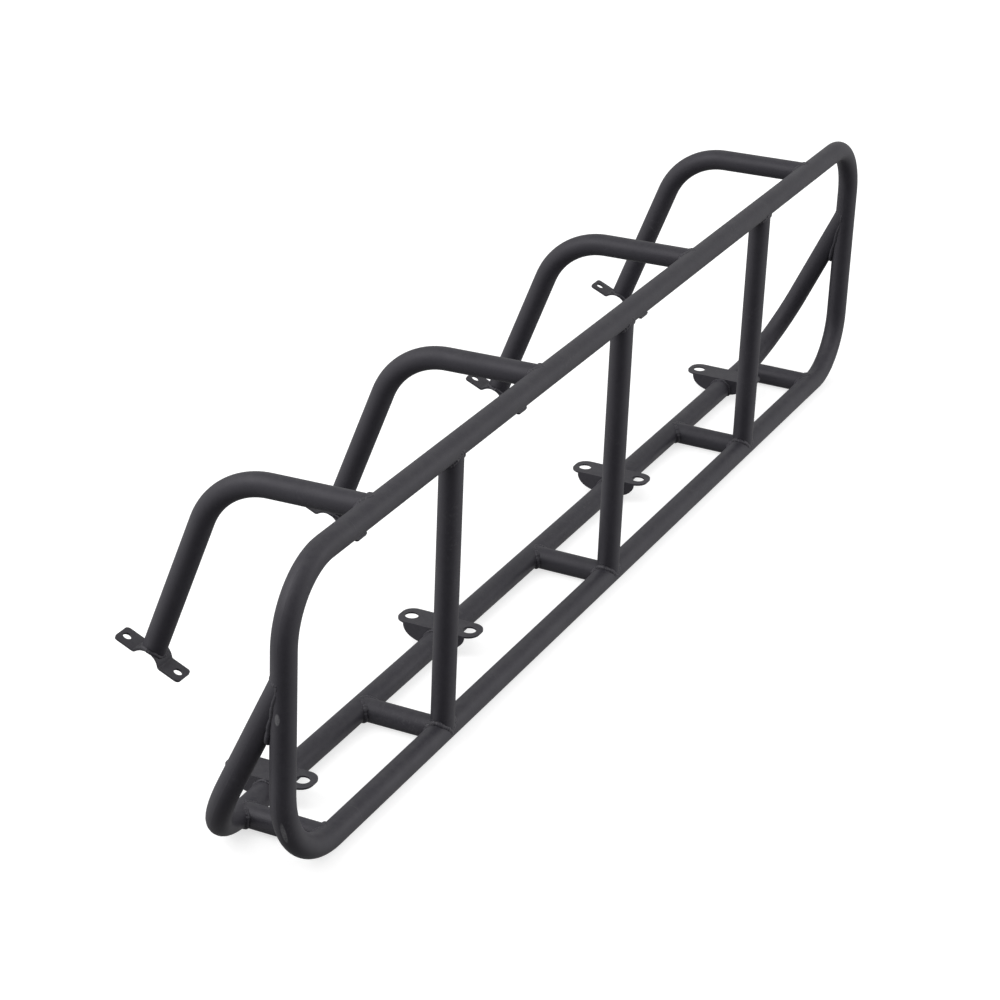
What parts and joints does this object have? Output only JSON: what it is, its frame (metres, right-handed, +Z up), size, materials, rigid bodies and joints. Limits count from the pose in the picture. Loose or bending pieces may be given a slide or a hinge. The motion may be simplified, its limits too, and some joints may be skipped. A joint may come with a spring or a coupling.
{
  "type": "ladder rack",
  "caption": "Welded round-tube ladder rack side: long braced frame with uprights, hooked arms ending in bolted bar saddles, and two-hole base plates.",
  "frame": {"origin": "on the ground under the middle of the rack: centre of the bounding box in X and Y, lowest point in Z", "axes": "+X along the rails towards the end with the tighter foot bend, +Y from the side frame towards the arms and saddles, +Z up"},
  "size_m": [2.408, 0.4676, 0.539],
  "materials": {
    "powder_coat": "fine-textured satin black powder coat"
  },
  "bodies": {
    "root": {"bottom_rail": "powder_coat", "top_rail": "powder_coat", "left_end_hoop": "powder_coat", "right_end_hoop": "powder_coat", "left_upright": "powder_coat", "middle_upright": "powder_coat", "right_upright": "powder_coat", "inner_rail": "powder_coat", "cross_stub_1": "powder_coat", "cross_stub_2": "powder_coat", "cross_stub_3": "powder_coat", "cross_stub_4": "powder_coat", "cross_stub_5": "powder_coat", "arm_1": "powder_coat", "arm_2": "powder_coat", "arm_3": "powder_coat", "arm_4": "powder_coat", "saddle_1": "powder_coat", "saddle_2": "powder_coat", "saddle_3": "powder_coat", "saddle_4": "powder_coat", "base_plate_1": "powder_coat", "base_plate_2": "powder_coat", "base_plate_3": "powder_coat", "base_plate_4": "powder_coat"}
  },
  "joints": []
}
